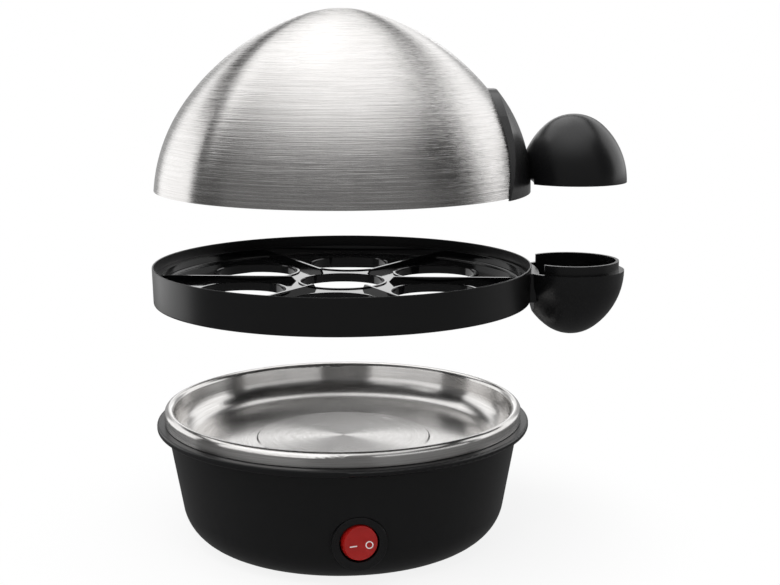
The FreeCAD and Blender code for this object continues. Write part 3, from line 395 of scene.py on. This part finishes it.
# the ring: a flat band, its angle along one way and its radius along the other
def ringMark():
    middleX, middleZ, middle, stroke = markSizes["ring"]
    rows, columns = markSizes["ringGrid"]
    angle = fullCircle(columns)
    radius = middle + np.linspace(stroke / 2, -stroke / 2, rows)[:, None]
    points = onRocker(middleX + radius * np.cos(angle), middleZ + radius * np.sin(angle))
    return gridMesh("rocker_ring", points, closeColumns=True)


inkLook = {"dark": (0.88, 0.84, 0.84), "light": (0.95, 0.92, 0.92), "cloudScale": 1500.0,
           "cloudDetail": 3.0, "roughness": 0.45, "glossChange": 0.1,
           "bumpStrength": 0.1, "bumpDepth": 0.00002}


# pale ink, a little uneven
def printInk(look):
    shader = Shader("pale print")
    cloud = shader.noise(shader.place, look["cloudScale"], look["cloudDetail"])
    return shader.finish(Base_Color=shader.tone(cloud, look["dark"], look["light"]),
                         Roughness=look["roughness"] + cloud * look["glossChange"],
                         Normal=shader.bump(cloud, look["bumpStrength"], look["bumpDepth"]))


ink = printInk(inkLook)
for mark in (dashMark(), ringMark()):
    mark.data.materials.append(ink)
    wall = mark.modifiers.new("thickness", "SOLIDIFY")
    wall.thickness = markSizes["thickness"]
    wall.offset = 1.0
    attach(mark, "rocker")
print("rocker signs made")


studio = {"white": 1.0, "fill": 0.55, "aim": (0.0, 0.0, 0.1)}
floorLook = {"middle": (0.0, 0.2), "radius": 0.45, "pole": 0.001, "grid": (24, 96),
             "dark": (0.86, 0.86, 0.86), "light": (0.9, 0.9, 0.9), "fibreScale": 900.0,
             "fibreDetail": 3.0, "nearShare": 0.86, "nearSpan": (0.09, 0.18), "glossPaintedGrey": 0.15}


# a flat round sheet under the object: its middle plus the radius times the angle's cosine and sine
def floorDisc():
    rows, columns = floorLook["grid"]
    angle = fullCircle(columns)
    radius = np.linspace(floorLook["pole"], floorLook["radius"], rows)[:, None]
    x = floorLook["middle"][0] + radius * np.cos(angle)
    y = floorLook["middle"][1] + radius * np.sin(angle)
    return gridMesh("studio_floor", np.stack([x, y, x * 0], axis=-1), closeColumns=True)


# pale paper with the object's shadow; for the camera and glass it turns to plain white away from the
# object, and gloss sees it as a fixed dim grey glow, a painted dark reflection of the floor
def paleFloor(look):
    shader = Shader("pale paper")
    x, y, _ = shader.axes(shader.place)
    gloss = shader.ray("Glossy")
    seen = shader.ray("Camera").higher(shader.ray("Transmission"))
    away = fromAxis(x, y).step(*look["nearSpan"]) * (1 - look["nearShare"])
    share = (seen * (look["nearShare"] + away)).higher(gloss)
    fibre = shader.noise(shader.place, look["fibreScale"], look["fibreDetail"])
    paper = shader.node("BsdfDiffuse", None, {"Color": shader.tone(fibre, look["dark"], look["light"])})
    # painted dark reflection: gloss rays see a dim grey glow in place of the lit paper
    light = shader.glow(studio["white"] - gloss * (studio["white"] - look["glossPaintedGrey"]))
    return shader.show(shader.node("MixShader", None, {0: share, 1: paper, 2: light}))


shellSizes = {"radius": 3.0, "height": 0.16, "pole": 0.001, "grid": (37, 72)}


# a large glowing sphere round the set that only gloss sees, painted with the reflections: the radius
# times the cosine of the rise, turned round the axis, and the height plus the radius times the sine of
# the rise
def studioShell():
    size = shellSizes
    rows, columns = size["grid"]
    turn = fullCircle(columns)
    rise = np.linspace(-math.pi / 2 + size["pole"], math.pi / 2 - size["pole"], rows)[:, None]
    flat = size["radius"] * np.cos(rise)
    up = size["height"] + size["radius"] * np.sin(rise) + turn * 0
    points = np.stack([flat * np.cos(turn), flat * np.sin(turn), up], axis=-1)
    return gridMesh("studio_shell", points, closeColumns=True)


# painted reflections, what gloss sees in each direction, in degrees: turn from the front, rise above
# the horizon.
# Bright painted bands standing for walls and ceiling with a dark painted gap between them, a dim
# painted zone standing for the room in front, and smaller painted bright and dark zones, each with its
# light, its turn or its turn to either side, and its rise
shellLook = {
    "wall": 1.25, "ceiling": 1.45, "gap": 0.05, "overGap": (2.0, 10.0), "underGap": (-2.0, -8.0),
    "gapRise": ((-180, 26), (-160, 27), (-149, 31), (-126, 34), (-110, 33), (-101, 25), (-92, 13),
                (-80, 0), (60, 24), (72, 37), (91, 44), (105, 49), (122, 51), (139, 47), (155, 40),
                (180, 26)),
    "front": {"light": 0.17, "turn": (-98.0, 84.0, 5.0), "rise": (30.0, 76.0)},
    "frontRight": {"light": 0.06, "turn": (58.0, 90.0, 8.0), "rise": (6.0, 46.0, 7.0)},
    "frontLeft": {"light": 0.1, "turn": (-98.0, -78.0, 6.0), "rise": (30.0, 16.0)},
    "behind": {"light": 0.4, "eitherTurn": (141.0, 149.0), "rise": (24.0, 14.0)},
    "back": {"light": 1.6, "eitherTurn": (164.0, 170.0), "rise": (7.0, 16.0, 2.0),
             "dimmer": 0.5, "dimmerRise": (11.0, 14.0)},
    "rightLow": {"light": 0.2, "turn": (60.0, 150.0, 12.0), "rise": (2.0, -6.0)},
    "window": {"light": 1.9, "turn": (-128.0, -140.0), "rise": (56.0, 74.0, 6.0)},
}


# a line through the given points: a ramp over the full turn, its grey times 90 degrees
def riseByTurn(shader, turn, points):
    stops = [(where / 360 + 0.5, rise / 90) for where, rise in points]
    return shader.node("ValToRGB", {"stops": stops}, {"Fac": turn / 360.0 + 0.5}, "Color") * 90.0


# the turn is the arc tangent of x over minus y, the rise that of the height over the distance
# from the axis; each zone's light takes over where its mask is 1
def shellLight(look):
    # glows only in reflections: painted bright patches and dark bands that the metal and plastics
    # mirror
    shader = Shader("glossy-only painted reflections")
    x, y, z = shader.axes(shader.place)
    turn = x.calc("ARCTAN2", y * -1.0) * math.degrees(1)
    rise = (z - shellSizes["height"]).calc("ARCTAN2", fromAxis(x, y)) * math.degrees(1)

    def zone(part):
        if "eitherTurn" in part:
            return turn.size().within(part["eitherTurn"]) * rise.within(part["rise"])
        return turn.within(part["turn"]) * rise.within(part["rise"])

    fromGap = rise - riseByTurn(shader, turn, look["gapRise"])
    overGap = fromGap.within(look["overGap"])
    light = fromGap.within(look["underGap"]) * look["wall"] + overGap * look["ceiling"] + look["gap"]
    light = light.turnTo(look["behind"]["light"], zone(look["behind"]))
    back = look["back"]
    backLight = back["light"] - rise.within(back["dimmerRise"]) * back["dimmer"]
    light = light.turnTo(backLight, zone(back))
    light = light.turnTo(look["rightLow"]["light"], zone(look["rightLow"]))
    front = look["front"]
    frontLight = front["light"] + (look["ceiling"] - front["light"]) * rise.within(front["rise"])
    light = light.turnTo(frontLight, turn.within(front["turn"]))
    for name in ("frontRight", "frontLeft", "window"):
        light = light.turnTo(look[name]["light"], zone(look[name]))
    return shader.show(shader.glow(light))


floor = floorDisc()
floor.data.materials.append(paleFloor(floorLook))
shell = studioShell()
shell.data.materials.append(shellLight(shellLook))
# the painted reflections are seen by gloss alone, never by the camera, diffuse light or shadows
for way in ("camera", "diffuse", "transmission", "volume_scatter", "shadow"):
    setattr(shell, "visible_" + way, False)


# white for the camera, gloss and glass, an even fill for everything else
def studioWorld():
    shader = Shader("studio", "worlds")
    seen = shader.ray("Camera").higher(shader.ray("Glossy")).higher(shader.ray("Transmission"))
    strength = shader.node("MapRange", None, {"Value": seen, "To Min": studio["fill"],
                                              "To Max": studio["white"]})
    back = shader.node("Background", None, {"Color": (1, 1, 1, 1), "Strength": strength})
    return shader.show(back, "OutputWorld")


lamps = {
    "overhead_softbox": {"place": (-0.25, -0.35, 1.25), "size": (1.1, 0.8), "power": 9.0},
    "left_softbox": {"place": (-1.1, 0.15, 0.6), "size": (0.7, 0.7), "power": 5.0},
}


# a soft lamp aimed at the set, which the camera and gloss don't see
def addLamp(name, look):
    data = bpy.data.lights.new(name, "AREA")
    data.shape = "RECTANGLE"
    data.size, data.size_y = look["size"]
    data.energy = look["power"]
    lamp = bpy.data.objects.new(name, data)
    lamp.location = look["place"]
    aim = np.array(studio["aim"]) - np.array(look["place"])
    flat = math.hypot(aim[0], aim[1])
    lamp.rotation_euler = (math.atan2(flat, -aim[2]), 0.0, math.atan2(-aim[0], aim[1]))
    bpy.context.scene.collection.objects.link(lamp)
    lamp.visible_camera = False
    lamp.visible_glossy = False
    return lamp


dishCards = {
    "left_card": {"place": (-0.464, -0.39, 0.405), "size": (0.8, 0.8), "power": 2.2},
    "right_card": {"place": (0.446, -0.4, 0.15), "size": (0.72, 0.17), "power": 0.34},
}


# a card that only the dish's gloss picks up, past the parts held above it
def addCard(name, look, dish):
    card = addLamp(name, look)
    card.visible_glossy = True
    card.visible_diffuse = False
    card.light_linking.receiver_collection = dish
    card.light_linking.blocker_collection = dish


bpy.context.scene.world = studioWorld()
for name, look in lamps.items():
    addLamp(name, look)
dishOnly = bpy.data.collections.new("dish_only")
dishOnly.objects.link(nodes["heating_dish"])
for name, look in dishCards.items():
    addCard(name, look, dishOnly)

view = {"place": (0.002116, -0.66939, 0.24268), "pitch": 79.42, "turn": -1.75, "lens": 65.978,
        "sensor": 36.0, "near": 0.01, "far": 20.0}
camera = bpy.data.objects.new("camera", bpy.data.cameras.new("camera"))
camera.location = view["place"]
camera.rotation_euler = (math.radians(view["pitch"]), 0.0, math.radians(view["turn"]))
camera.data.lens = view["lens"]
camera.data.sensor_width = view["sensor"]
camera.data.sensor_fit = "HORIZONTAL"
camera.data.clip_start = view["near"]
camera.data.clip_end = view["far"]
bpy.context.scene.collection.objects.link(camera)
bpy.context.scene.camera = camera
bpy.context.scene.view_settings.view_transform = "Standard"
print("studio and camera set")
